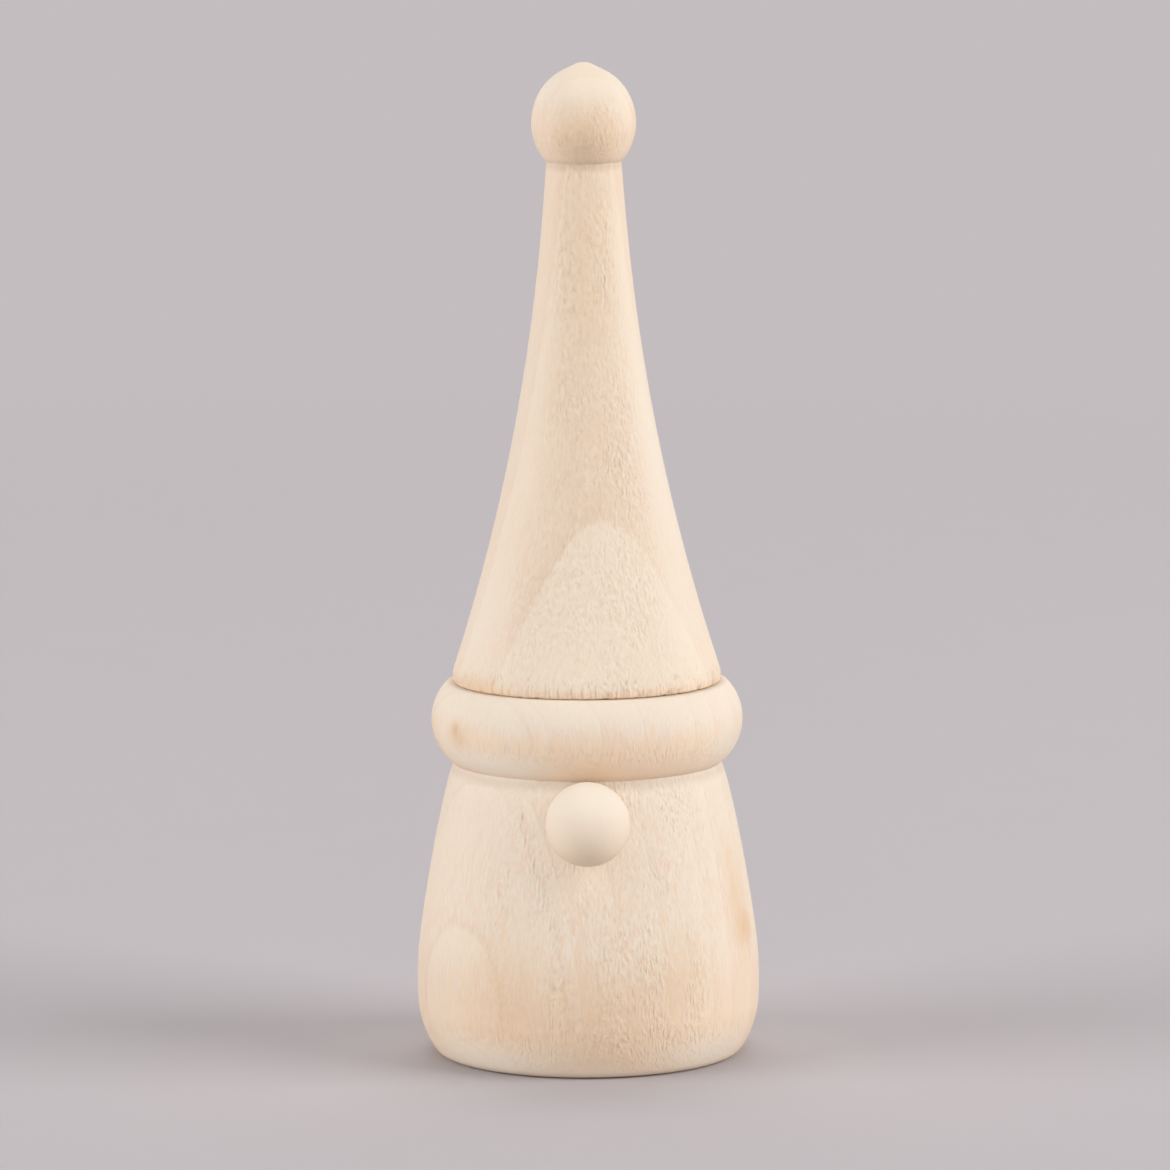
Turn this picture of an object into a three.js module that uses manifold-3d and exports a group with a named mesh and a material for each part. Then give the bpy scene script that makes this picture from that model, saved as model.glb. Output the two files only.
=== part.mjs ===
// A gnome turned from pale wood: a trunk with a rolled brim, a tall hat with a bobble, and a ball nose.
// Millimetres, +Z up. The origin is the middle of the flat foot, and the nose points along -Y.
// The hat stands loose on a dowel, so it turns and lifts off. The nose is held by a hidden peg.

import * as THREE from 'three';
import { mergeVertices } from 'three/addons/utils/BufferGeometryUtils.js';
import Module from 'manifold-3d';

// Trunk, from the flat foot to the groove under the brim
const TRUNK_HEIGHT = 35.6;
const BELLY_RADIUS = 20.65; // the widest part, a straight band low on the trunk
const BELLY_LOW = 7.4; // height where the band starts
const BELLY_BAND = 3.8; // height of the band
const BELLY_EASE = 3.6; // how long the side stays close to upright above the band
const FOOT_INSET = 2.6; // the foot's edge lies this far inside the belly
const SHOULDER_DROP = 3.2; // the side bends in to the groove from this far below it
const SHOULDER_OUT = 1.5; // and from this far outside it

// Rolled brim, turned in one piece with the trunk
const BRIM_HEIGHT = 9.8;
const BRIM_RADIUS = 18.78;
const BRIM_WIDEST = 5.25; // height of the widest ring above the groove
const GROOVE_INSET = 2.65; // the groove lies this far inside the brim's widest ring
const LAND_INSET = 1.95; // and the edge of the flat land that carries the hat lies this far inside it

// Hat, a hollow-sided cone in one piece with its bobble
const HAT_LEDGE = 0.65; // bare strip of land around the hat
const HAT_EDGE_ROUND = 0.4;
const HAT_RIM = 1.2; // height of the upright rim at the hat's base
const CONE_HEIGHT = 62.7; // base to neck
const WAIST_RADIUS = 6.56; // the cone's side bends towards this ring
const WAIST_HEIGHT = 30.3; // and this height above the hat's base
const NECK_RADIUS = 4.53;
const BOBBLE_RADIUS = 6.3;
const BOBBLE_DOWN = 6.6; // the bobble is a little taller than a ball, below its middle
const BOBBLE_UP = 6.95; // and above it
const CROWN_RADIUS = 3.6; // ring where the top of the bobble turns into a blunt cone
const CROWN_HEIGHT = 1.45; // from that ring to the tip
const TIP_RADIUS = 0.95; // small round tip left by the lathe
const TIP_RISE = 0.15;

// Nose ball, half drilled, in a shallow dished seat
const NOSE_RADIUS = 5;
const NOSE_RISE = 0.75; // the top of the nose stands this far above the groove
const NOSE_SEAT_DEPTH = 1;
const NOSE_SEAT_GAP = 0.3;

// Peg that holds the nose
const PEG_RADIUS = 1.5;
const PEG_IN_BALL = 5; // length inside the ball
const PEG_IN_TRUNK = 7; // length behind the ball
const PEG_CHAMFER = 0.4;
const PEG_CLEARANCE = 0.2; // around the peg and at its ends

// Fluted dowel that carries the hat
const DOWEL_RADIUS = 4;
const DOWEL_LENGTH = 30;
const DOWEL_IN_TRUNK = 12; // length below the brim's land
const DOWEL_CHAMFER = 1;
const DOWEL_FLUTES = 20;
const FLUTE_DEPTH = 0.3;
const DOWEL_CLEARANCE = 0.15; // around the dowel
const DOWEL_END_GAP = 0.3; // below and above the dowel
const MOUTH_CHAMFER = 0.6; // eased mouth of both sockets

// Fineness of the round faces
const TURNED_SIDES = 64;
const BALL_SIDES = 32;
const PEG_SIDES = 24;
const SIDES_PER_FLUTE = 4;
const ROUND_STEPS = 5;
const SIDE_STEPS = 10;
const BALL_STEPS = 12;
const TIP_STEPS = 3;
const WELD = 1e-4;

const WOOD_COLOURS = { body: 0xe9d6bf, hat: 0xe8d2b8, nose: 0xf2e2cd, dowel: 0xe2c8a4 };

// Places that several pieces share
const grooveRadius = BRIM_RADIUS - GROOVE_INSET;
const landRadius = BRIM_RADIUS - LAND_INSET;
const landHeight = TRUNK_HEIGHT + BRIM_HEIGHT;
const socketRadius = DOWEL_RADIUS + DOWEL_CLEARANCE;
const dowelInHat = DOWEL_LENGTH - DOWEL_IN_TRUNK;
const pegBoreRadius = PEG_RADIUS + PEG_CLEARANCE;
const noseHeight = TRUNK_HEIGHT + NOSE_RISE - NOSE_RADIUS;

const wasm = await Module();
wasm.setup();

function point(radius, height) {
  return new THREE.Vector2(radius, height);
}

// Arc from an edge to the widest ring of a roll, where it stands upright. Works upwards or downwards.
function rollArc(edge, widest) {
  const inset = widest.x - edge.x;
  const rise = widest.y - edge.y;
  const radius = (inset * inset + rise * rise) / (2 * inset);
  const sweep = Math.atan2(rise, radius - inset);
  const points = [];
  for (let step = 0; step <= ROUND_STEPS; step++) {
    const angle = sweep * (1 - step / ROUND_STEPS);
    points.push(point(widest.x - radius + radius * Math.cos(angle), widest.y - radius * Math.sin(angle)));
  }
  return points;
}

// Solid turned about Z from half its section, listed upwards along the outside.
function turned(section, sides) {
  const geometry = new THREE.LatheGeometry(section, sides);
  geometry.rotateX(Math.PI / 2);
  return geometry;
}

// The trunk's side from the top of its belly to the groove.
function trunkSide() {
  const bellyTop = BELLY_LOW + BELLY_BAND;
  const curve = new THREE.CubicBezierCurve(
    point(BELLY_RADIUS, bellyTop),
    point(BELLY_RADIUS, bellyTop + BELLY_EASE),
    point(grooveRadius + SHOULDER_OUT, TRUNK_HEIGHT - SHOULDER_DROP),
    point(grooveRadius, TRUNK_HEIGHT),
  );
  return curve.getPoints(SIDE_STEPS);
}

// Radius of a side, listed upwards, at one height.
function radiusAt(side, height) {
  const above = side.findIndex((p) => p.y >= height);
  const low = side[above - 1];
  const high = side[above];
  return THREE.MathUtils.mapLinear(height, low.y, high.y, low.x, high.x);
}

function bodyGeometry() {
  const foot = rollArc(point(BELLY_RADIUS - FOOT_INSET, 0), point(BELLY_RADIUS, BELLY_LOW));
  const widest = point(BRIM_RADIUS, TRUNK_HEIGHT + BRIM_WIDEST);
  const brimFoot = rollArc(point(grooveRadius, TRUNK_HEIGHT), widest);
  const brimTop = rollArc(point(landRadius, landHeight), widest).reverse();
  const socketFloor = landHeight - DOWEL_IN_TRUNK - DOWEL_END_GAP;
  return turned([
    point(0, 0),
    ...foot,
    ...trunkSide(),
    ...brimFoot.slice(1),
    ...brimTop.slice(1),
    point(socketRadius + MOUTH_CHAMFER, landHeight),
    point(socketRadius, landHeight - MOUTH_CHAMFER),
    point(socketRadius, socketFloor),
    point(0, socketFloor),
  ], TURNED_SIDES);
}

// Rounded lower edge of the hat, from its flat base to its upright rim.
function hatEdge(baseRadius) {
  const points = [];
  for (let step = 0; step <= ROUND_STEPS; step++) {
    const angle = (Math.PI / 2) * (step / ROUND_STEPS);
    points.push(point(
      baseRadius - HAT_EDGE_ROUND * (1 - Math.sin(angle)),
      HAT_EDGE_ROUND * (1 - Math.cos(angle)),
    ));
  }
  return points;
}

// Bobble from the neck to its tip: a lower and an upper half ellipse, a blunt cone and a small dome.
function bobbleSide() {
  const start = -Math.acos(NECK_RADIUS / BOBBLE_RADIUS);
  const end = Math.acos(CROWN_RADIUS / BOBBLE_RADIUS);
  const middle = CONE_HEIGHT - BOBBLE_DOWN * Math.sin(start);
  const points = [];
  for (let step = 0; step <= BALL_STEPS; step++) {
    const angle = THREE.MathUtils.lerp(start, end, step / BALL_STEPS);
    const reach = angle < 0 ? BOBBLE_DOWN : BOBBLE_UP;
    points.push(point(BOBBLE_RADIUS * Math.cos(angle), middle + reach * Math.sin(angle)));
  }
  const tipFoot = middle + BOBBLE_UP * Math.sin(end) + CROWN_HEIGHT;
  for (let step = 0; step < TIP_STEPS; step++) {
    const angle = (Math.PI / 2) * (step / TIP_STEPS);
    points.push(point(TIP_RADIUS * Math.cos(angle), tipFoot + TIP_RISE * Math.sin(angle)));
  }
  points.push(point(0, tipFoot + TIP_RISE));
  return points;
}

// The hat's own zero is its base.
function hatGeometry() {
  const baseRadius = landRadius - HAT_LEDGE;
  const flare = new THREE.QuadraticBezierCurve(
    point(baseRadius, HAT_RIM),
    point(WAIST_RADIUS, WAIST_HEIGHT),
    point(NECK_RADIUS, CONE_HEIGHT),
  );
  const socketEnd = dowelInHat + DOWEL_END_GAP;
  return turned([
    point(0, socketEnd),
    point(socketRadius, socketEnd),
    point(socketRadius, MOUTH_CHAMFER),
    point(socketRadius + MOUTH_CHAMFER, 0),
    ...hatEdge(baseRadius),
    ...flare.getPoints(SIDE_STEPS),
    ...bobbleSide().slice(1),
  ], TURNED_SIDES);
}

// Straight pin along Z with eased ends. Its own zero is its lower end.
function pinGeometry(radius, length, chamfer, sides) {
  return turned([
    point(0, 0),
    point(radius - chamfer, 0),
    point(radius, chamfer),
    point(radius, length - chamfer),
    point(radius - chamfer, length),
    point(0, length),
  ], sides);
}

// The dowel's flutes run from chamfer to chamfer.
function dowelGeometry() {
  const geometry = pinGeometry(DOWEL_RADIUS, DOWEL_LENGTH, DOWEL_CHAMFER, DOWEL_FLUTES * SIDES_PER_FLUTE);
  const place = geometry.attributes.position;
  for (let i = 0; i < place.count; i++) {
    const x = place.getX(i);
    const y = place.getY(i);
    const reach = Math.hypot(x, y);
    if (reach < DOWEL_RADIUS - FLUTE_DEPTH) continue;
    const groove = FLUTE_DEPTH * (0.5 + 0.5 * Math.cos(DOWEL_FLUTES * Math.atan2(y, x)));
    const shrink = (reach - groove) / reach;
    place.setXY(i, x * shrink, y * shrink);
  }
  return geometry;
}

// Ball round the zero with a straight round wall below it, which ends at one height.
// An end inside the ball makes a drilled ball, and an end below it makes a ball on a stem.
function ballGeometry(ballRadius, wallRadius, wallEnd) {
  const start = -Math.acos(wallRadius / ballRadius);
  const points = [point(0, wallEnd), point(wallRadius, wallEnd)];
  for (let step = 0; step < BALL_STEPS; step++) {
    const angle = THREE.MathUtils.lerp(start, Math.PI / 2, step / BALL_STEPS);
    points.push(point(ballRadius * Math.cos(angle), ballRadius * Math.sin(angle)));
  }
  points.push(point(0, ballRadius));
  return turned(points, BALL_SIDES);
}

function noseGeometry() {
  return ballGeometry(NOSE_RADIUS, pegBoreRadius, PEG_IN_BALL - NOSE_RADIUS + PEG_CLEARANCE);
}

// Shape that the trunk loses to the nose: the ball's seat and the peg's bore.
function seatCutter() {
  const boreEnd = -(NOSE_RADIUS + PEG_IN_TRUNK + PEG_CLEARANCE);
  return ballGeometry(NOSE_RADIUS + NOSE_SEAT_GAP, pegBoreRadius, boreEnd);
}

// Closed solid for cutting, with shared corners welded and the slivers on the axis left out.
function solidOf(geometry) {
  const bare = geometry.clone();
  bare.deleteAttribute('normal');
  bare.deleteAttribute('uv');
  const welded = mergeVertices(bare, WELD);
  const corners = welded.index.array;
  const triangles = [];
  for (let i = 0; i < corners.length; i += 3) {
    const [a, b, c] = corners.slice(i, i + 3);
    if (a !== b && b !== c && c !== a) triangles.push(a, b, c);
  }
  return new wasm.Manifold(new wasm.Mesh({
    numProp: 3,
    vertProperties: welded.attributes.position.array,
    triVerts: Uint32Array.from(triangles),
  }));
}

function geometryOf(solid) {
  const mesh = solid.getMesh();
  const geometry = new THREE.BufferGeometry();
  geometry.setAttribute('position', new THREE.BufferAttribute(Float32Array.from(mesh.vertProperties), 3));
  geometry.setIndex(new THREE.BufferAttribute(Uint32Array.from(mesh.triVerts), 1));
  geometry.computeVertexNormals();
  return geometry;
}

function woodenMesh(name, geometry, colour) {
  const material = new THREE.MeshStandardMaterial({ color: colour, roughness: 0.75, metalness: 0 });
  const mesh = new THREE.Mesh(geometry, material);
  mesh.name = name;
  return mesh;
}

// The nose's frame: its zero is the ball's middle and its +Z runs along -Y, out of the trunk.
const noseReach = radiusAt(trunkSide(), noseHeight) + NOSE_RADIUS - NOSE_SEAT_DEPTH;
const noseGroup = new THREE.Group();
noseGroup.position.set(0, -noseReach, noseHeight);
noseGroup.rotation.x = Math.PI / 2;
noseGroup.updateMatrix();

const seat = solidOf(seatCutter().applyMatrix4(noseGroup.matrix));
const body = woodenMesh('body', geometryOf(solidOf(bodyGeometry()).subtract(seat)), WOOD_COLOURS.body);

const noseBall = woodenMesh('nose_ball', noseGeometry(), WOOD_COLOURS.nose);
const pegLength = PEG_IN_BALL + PEG_IN_TRUNK;
const nosePeg = woodenMesh(
  'nose_peg',
  pinGeometry(PEG_RADIUS, pegLength, PEG_CHAMFER, PEG_SIDES),
  WOOD_COLOURS.dowel,
);
nosePeg.position.z = -(NOSE_RADIUS + PEG_IN_TRUNK);
noseGroup.add(noseBall, nosePeg);

const hatDowel = woodenMesh('hat_dowel', dowelGeometry(), WOOD_COLOURS.dowel);
hatDowel.position.z = landHeight - DOWEL_IN_TRUNK;

const hat = woodenMesh('hat', hatGeometry(), WOOD_COLOURS.hat);
hat.position.z = landHeight;

const gnome = new THREE.Group();
gnome.add(body, noseGroup, hatDowel, hat);

export default gnome;
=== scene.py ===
"""Looks of the turned wooden gnome: finely turned meshes, solid-wood materials, a pale floor and soft light.

Metres in the scene, millimetres inside the wood materials. +Z is up and the nose points along -Y.
Directions round the figure are degrees from the front, with the viewer's right positive.
"""

import math

import bpy
import numpy as np
from mathutils import Matrix, Vector, noise


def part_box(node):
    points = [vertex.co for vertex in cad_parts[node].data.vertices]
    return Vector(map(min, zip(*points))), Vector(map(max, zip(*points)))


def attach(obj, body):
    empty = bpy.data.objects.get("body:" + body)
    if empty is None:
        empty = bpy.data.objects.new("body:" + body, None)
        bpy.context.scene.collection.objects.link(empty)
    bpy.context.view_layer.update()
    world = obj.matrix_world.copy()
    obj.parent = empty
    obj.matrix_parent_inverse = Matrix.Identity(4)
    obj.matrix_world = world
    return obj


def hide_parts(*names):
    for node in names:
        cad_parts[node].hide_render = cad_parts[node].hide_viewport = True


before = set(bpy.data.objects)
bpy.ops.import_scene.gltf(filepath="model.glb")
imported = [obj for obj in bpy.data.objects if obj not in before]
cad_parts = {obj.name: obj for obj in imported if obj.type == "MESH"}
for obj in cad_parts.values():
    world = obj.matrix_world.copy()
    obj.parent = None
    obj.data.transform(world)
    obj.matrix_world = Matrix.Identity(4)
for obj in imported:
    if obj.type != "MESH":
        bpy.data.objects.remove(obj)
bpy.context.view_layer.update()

MM = 0.001

# Camera: a long lens about a metre away, looking a little down
IMAGE_WIDTH = 1170  # pixels of the photograph
FOCAL_LENGTH = 8500  # the same pixels
SENSOR_WIDTH = 36  # millimetres, as lenses are given
CAMERA_PLACE = (-0.15 * MM, -1013 * MM, 198.2 * MM)
CAMERA_DOWN = 7.937  # degrees
CAMERA_ROLL = -0.33  # degrees, so that the picture leans a little to the left

# Soft studio lamps: name, place, aim, size and power in watts
FIGURE_AIM = (0, 0, 0.05)
LAMPS = (
    ("lamp_left", (-1.51, -0.55, 0.6), FIGURE_AIM, 1.2, 19.7),
    ("lamp_right", (1.45, -0.53, 0.77), FIGURE_AIM, 1.2, 23.5),
    ("lamp_front", (0, -1.5, 0.05), FIGURE_AIM, 0.6, 4.6),
    ("lamp_backdrop", (0, 0.6, 1.6), (0, 1.3, 0), 1.0, 10.4),
)
WORLD_LIGHT = 0.215
WHITE = (1, 1, 1, 1)

# Floor of paper that sweeps up into a backdrop. Far from the figure it shows one even colour in any light.
FLOOR_COLOUR = (0.534, 0.498, 0.511, 1)
BACKDROP_COLOUR = (0.55, 0.51, 0.522, 1)
EVEN_FLOOR = (0.35, 0.8)  # distances at which the even colour begins and is full
PAPER_TONE = 0.985  # darker places of the paper, as a share of its colour
PAPER_TONE_SIZE = (0.02, 0.02, 0.02)
PAPER_ROUGHNESS = 0.9
PAPER_SPECULAR = 0.1
FLOOR_HALF_WIDTH = 2.0
FLOOR_FRONT = -1.6
FLOOR_BACK = 0.9
SWEEP_RADIUS = 0.5
BACKDROP_HEIGHT = 1.6
SWEEP_STEPS = 24
FLOOR_DROP = 0.02 * MM  # keeps the floor just clear of the foot

# Fineness of the turned meshes
TURNED_SIDES = 400
BALL_SIDES = 160
BODY_STEP = 0.25 * MM
HAT_STEP = 0.43 * MM
BALL_STEP = 0.2 * MM
HIDDEN_STEP = 1.6 * MM
FOOT_STEPS = 2  # hidden steps of the foot beside its worn corner
CORNER_TURN = 15  # degrees; a sharper turn of the outline is a corner, a gentler one is part of a curve
CORNER_EASE = 0.3 * MM  # worn outside corners
FOOT_EASE = 1.05 * MM  # the foot is worn rounder, so a dark line shows under it
CREASE_EASE = 0.06 * MM  # inside corners stay crisp
EASE_SHARE = 0.4  # no corner is eased by more than this share of the run beside it
CORNER_STEPS = 5
SAME_POINT = 0.005 * MM
PLACE_DIGITS = 7  # decimals of a metre that are read from the frame
LEVEL_DIGITS = 6  # decimals to which points of one level agree
BALL_SHELL = 0.9  # points of the nose beyond this share of its radius lie on the ball, and others in its hole

# Sockets and seats
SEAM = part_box("hat")[0].z  # height of the hat's lower edge
SEAM_GAP = 0.03 * MM  # under the hat, so that it clears the brim as it turns
SOCKET_REACH = 1.3  # times the dowel's radius
SOCKET_MARGIN = 1.0 * MM
SEAT_GAP = 0.06 * MM  # around the glued nose
BORE_GAP = 0.2 * MM  # around the nose's peg
LEAST_FORWARD = 0.5  # keeps the bore's depth finite beside the front

# Relief of the worked wood, in millimetres. Noise runs from about -1 to 1.
ROUNDNESS = 0.03
ROUNDNESS_SIZE = (22, 22, 22)
TEAR_DEPTH = 0.04
TEAR_FROM = 0.15  # noise above which a fibre is torn
TEAR_SIZE = (0.6, 0.6, 2.4)
TEAR_ZONE_FROM = -0.35  # noise above which fibres can be torn
TEAR_ZONE_SIZE = (5, 5, 14)
NOTCH_DEPTH = 0.11
NOTCH_FROM = 0.2  # noise above which the hat's edge is split
NOTCH_RISE = 0.4  # and the rise to the full depth
NOTCH_SIZE = (0.5, 0.5, 6)
NOTCH_HEIGHT = 1.3

# Colours of wood, and of the light and shade painted on it
PALE = (0.93, 0.83, 0.71, 1)
# Painted light: the pale of surfaces that face up and of lit flanks
PAINTED_LIGHT_PALE = (0.845, 0.76, 0.64, 1)
# Painted shade: the tan of surfaces that face down
UNDER_SHADE_TAN = (0.87, 0.68, 0.50, 1)
BROWN = (0.52, 0.31, 0.15, 1)
AMBER = (0.74, 0.49, 0.27, 1)
# Painted light on a flank: paler and greyer than the wood
FLANK_LIGHT_GREY = (0.80, 0.71, 0.59, 1)
# Painted shade: a neutral dark laid into creases and onto shaded flanks
PAINTED_SHADE = (0.36, 0.27, 0.20, 1)

# Woods, in degrees and millimetres. Depth runs from the axis towards the bark.
# A mark has a direction, a height, half its width, half its height, how strong it is and a colour. Some marks
# are painted light or painted shade.
RING_REACH = 24  # all depths of a wood lie within this distance of the axis
HAT_ARCH = 10.5  # depth of the ring line that draws the pale arch on the hat
PLAIN_WOOD = {
    "ring_slope": 0,  # change of depth with height
    "late_width": 1.5,  # how far a ring darkens up to its line
    "ragged": 0.1,  # how far a line strays from fibre to fibre
    "faint_side": 0,  # direction in which ring lines are faint
    "lines_fade": -RING_REACH,  # height up to which ring lines fade in
    "torn_side": 180,  # fibres are torn in this direction and in the opposite one
    "torn_depth": -RING_REACH,  # torn wood is tan up to this depth
    "torn_dark": 1,  # how dark tears are beyond that depth
    "torn_least": 0.2,  # how torn the wood is between patches
    "torn_most": 1,  # and in patches
    "torn_top": 200,  # height where the tears grow weaker
    "torn_above": 1,  # and how much of them is left above it
    "painted_light_slope": (0.1, 0.5),  # how far a surface faces up where the painted light of the top colour begins and where it is full
    "painted_shade_slope": (0.05, -0.07),  # the same for the painted shade, a tan, of surfaces that face down
    "fleck": 1,  # strength of the fine figure
    "top": PAINTED_LIGHT_PALE,  # colour of the painted light on surfaces that face up
    "tan": UNDER_SHADE_TAN,  # and of the painted shade on those that face down
    "pale": PALE,  # colour of pale fibres
    "marks": (),
}
BODY_WOOD = {
    **PLAIN_WOOD,
    "node": "body",  # that the marks lie on
    "bark_side": -51,  # direction of the bark
    "pith": 109,  # distance of the pith on the other side
    "ring_slope": -0.025,
    "late_width": 0.25,
    "ragged": 0.05,
    # Depth of each ring line, and how dark it is
    "rings": ((-18.5, 0.8), (-14.5, 0.7), (-9.5, 0.5), (-4.5, 0.4), (-1, 0.35), (5.75, 0.35), (10.3, 0.35),
              (14.4, 0.3), (15.6, 0.3), (19.3, 0.5), (21, 0)),
    "faint_side": 100,
    "lines_fade": 9,
    "torn_side": 6,
    "torn_least": 0.3,
    "torn_most": 1.05,
    "torn_top": 35.5,
    "torn_above": 0.25,
    # Painted light on surfaces that face up
    "painted_light_slope": (0, 0.28),
    "early": (0.858, 0.712, 0.562, 1),  # colour of a new ring
    "blush": (0.822, 0.642, 0.497, 1),  # of a ring that fills
    "late": (0.70, 0.50, 0.35, 1),  # and of ring lines and dark fibres
    "marks": (
        # Painted light on the brim's two flanks
        (-62, 38.8, 7, 4, 0.5, PAINTED_LIGHT_PALE),
        (68, 38.8, 9, 4.5, 0.65, PAINTED_LIGHT_PALE),
        (-56, 40.3, 3.4, 3.0, 0.55, AMBER),
        (-57, 41.0, 1.0, 1.4, 0.25, BROWN),
        (-26.5, 31.3, 0.28, 1.0, 0.6, BROWN),
        (70, 16.4, 3.6, 3.6, 0.6, AMBER),
        (66, 20, 4, 14, 0.42, AMBER),
        (8, 8, 16, 9, 0.32, AMBER),
        (-30, 9, 10, 12, 0.33, AMBER),
        (33, 13, 7, 7, 0.22, AMBER),
        # Painted shade in the crease under the brim, all round
        (0, 35.2, 60, 1.3, 0.3, PAINTED_SHADE),
        # Painted shade on the trunk's lower left flank
        (-60, 9, 10, 9, 0.09, PAINTED_SHADE),
        # Painted light on the foot's round, over its painted under-shade
        (-38, 1.6, 16, 4.2, 0.8, PAINTED_LIGHT_PALE),
        (50, 2.0, 13, 4.4, 0.75, PAINTED_LIGHT_PALE),
        (5, 0.2, 12, 2.2, 0.5, PAINTED_LIGHT_PALE),
        # Painted light on the brim's lower left, over its painted under-shade
        (-36, 37.1, 12, 2.8, 0.85, PAINTED_LIGHT_PALE),
    ),
}
HAT_WOOD = {
    **PLAIN_WOOD,
    "node": "hat",
    "bark_side": 11,
    "pith": 75,
    "late_width": 1.1,
    "ragged": 0.2,
    "rings": ((-15, 0.65), (-9, 0.4), (-3.5, 0.1), (3.4, 0.08), (HAT_ARCH, 0.5)),
    "faint_side": 62,
    "lines_fade": 56,
    "torn_side": 4,
    "torn_depth": HAT_ARCH,
    "torn_dark": 0.6,
    "torn_least": 0.5,
    "torn_top": 108,
    "torn_above": 0.85,
    "torn_edge": SEAM / MM,  # height of a lower edge with streaks
    # Painted light on surfaces that face up
    "painted_light_slope": (0.15, 0.55),
    "early": (0.87, 0.728, 0.572, 1),
    "blush": (0.83, 0.655, 0.51, 1),
    "late": (0.70, 0.50, 0.34, 1),
    "marks": (
        # Painted light on the hat's right flank
        (78, 74, 9, 46, 0.6, PAINTED_LIGHT_PALE),
        # Painted light on the hat's left flank, paler and greyer
        (-82, 80, 7, 45, 0.5, FLANK_LIGHT_GREY),
        # Painted light on the hat's lower flanks
        (-64, 55, 7, 10, 0.5, PAINTED_LIGHT_PALE),
        (54, 55, 5, 10, 0.4, PAINTED_LIGHT_PALE),
        (-58, 46.2, 8, 1.6, 0.4, AMBER),
        (0, 112.2, 6, 5, 0.3, AMBER),
        # Painted shade on the underside of the bobble
        (0, 109.9, 5.5, 3.2, 0.12, PAINTED_SHADE),
        (1, 95, 4.5, 17, 0.17, AMBER),
        # Painted shade in the crease under the bobble, all round
        (0, 107.9, 14, 1.1, 0.3, PAINTED_SHADE),
    ),
}
NOSE_WOOD = {
    **PLAIN_WOOD,
    "bark_side": 80,
    "pith": 30,
    "rings": ((-3, 0.2), (1, 0.2), (4, 0.2)),
    # Painted light on the nose's top and painted shade under it
    "painted_light_slope": (0.1, 0.6),
    "painted_shade_slope": (0.4, -0.8),
    "fleck": 0.15,
    "early": (0.87, 0.74, 0.60, 1),
    "blush": (0.86, 0.72, 0.58, 1),
    "late": (0.82, 0.67, 0.52, 1),
    # Colours of that painted light and painted shade
    "top": (0.87, 0.77, 0.645, 1),
    "tan": (0.85, 0.69, 0.515, 1),
}
DOWEL_WOOD = {
    **PLAIN_WOOD,
    "bark_side": 20,
    "pith": 15,
    "rings": ((-4, 0.7), (-2.2, 0.7), (-0.4, 0.7), (1.5, 0.7), (3.4, 0.7)),
    "early": (0.76, 0.58, 0.39, 1),
    "blush": (0.72, 0.53, 0.35, 1),
    "late": (0.60, 0.40, 0.24, 1),
    # Colours of the painted light on top and the painted shade below
    "top": (0.76, 0.60, 0.42, 1),
    "tan": (0.74, 0.55, 0.36, 1),
    "pale": (0.84, 0.69, 0.50, 1),
}

# Figure of the woods. Sizes are millimetres across, across and along the fibres. Strengths run from 0 to 1.
# A spread is two values between which a look comes in, and then what they give where that isn't 0 and 1.
NOISE_MIDDLE = 0.5  # noise in materials runs from 0 to 1
RING_SWAY = 0.4  # how far a ring line strays
RING_SWAY_SIZE = (7, 7, 30)
RING_RAGGED_SIZE = (0.6, 0.6, 2.2)
RING_GAP_SIZE = (5, 5, 9)  # ring lines are broken into lengths of about this size
RING_GAP_SPREAD = (0.35, 0.6, 0.5, 1)
RING_FAINT_SPREAD = (0.6, 0.95, 1, 0.3)
RING_DARK = 0.52
LINES_FADE = 7  # ring lines fade in over this height
LINE_WIDTH = 0.18  # the wood clears over this width after a ring line
LATE_SHARE = 0.65  # how much of the blush follows the rings
DRIFT = (2.5, 2.5, 0)  # how far fibres wander
DRIFT_SIZE = (5, 5, 16)
BLUSH_SIZE = (6, 6, 22)
BLUSH_SPREAD = (0.35, 0.65, 0, 1 - LATE_SHARE)
STREAK_SIZE = (0.28, 0.28, 6)
STREAK_DARK = 0.08
STREAK_DARK_SPREAD = (0.5, 0.75)
STREAK_PALE = 0.1
STREAK_PALE_SPREAD = (0.48, 0.3)
TORN_SIDE_SPREAD = (0.58, 0.9)  # how nearly a torn place faces the torn side
TORN_STEEP_SPREAD = (0.5, 0.25)  # tears lie where the wood stands upright
TORN_DEPTH_SPREAD = (-0.2, 0.3)  # about the torn depth
TORN_TOP_BLEND = 1  # tears grow weaker over this height
TORN_TAN = 0.11
PATCH_SIZE = (5, 5, 14)  # patches of torn fibres
PATCH_SPREAD = (0.4, 0.62)
DASH_SIZE = (0.36, 0.36, 0.9)  # torn fibres
DASH_DARK = 0.3
DASH_DARK_SPREAD = (0.5, 0.32)
DASH_PALE = 0.28
DASH_PALE_SPREAD = (0.52, 0.68)
DASH_DEPTH = 0.26
PIT_DARK = 0.3  # small deep tears
PIT_SPREAD = (0.3, 0.22)
UNDER_SIZE = (0.3, 0.3, 3)  # streaks on surfaces that face down
UNDER_STRAY = 0.9
# Painted shade on surfaces that face down
UNDER_SHADE_SHARE = 0.85
SIDE_TAN = 0.5  # how much of that painted shade is left on the sides
SIDE_TAN_SPREAD = (0.4, 0.9, SIDE_TAN * UNDER_SHADE_SHARE, UNDER_SHADE_SHARE)
UNDER_DARK = 0.22
UNDER_DARK_SPREAD = (0.5, 0.68)
UNDER_FADE_SPREAD = (-0.7, -0.35)  # the streaks fade where the surface turns further under
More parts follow.
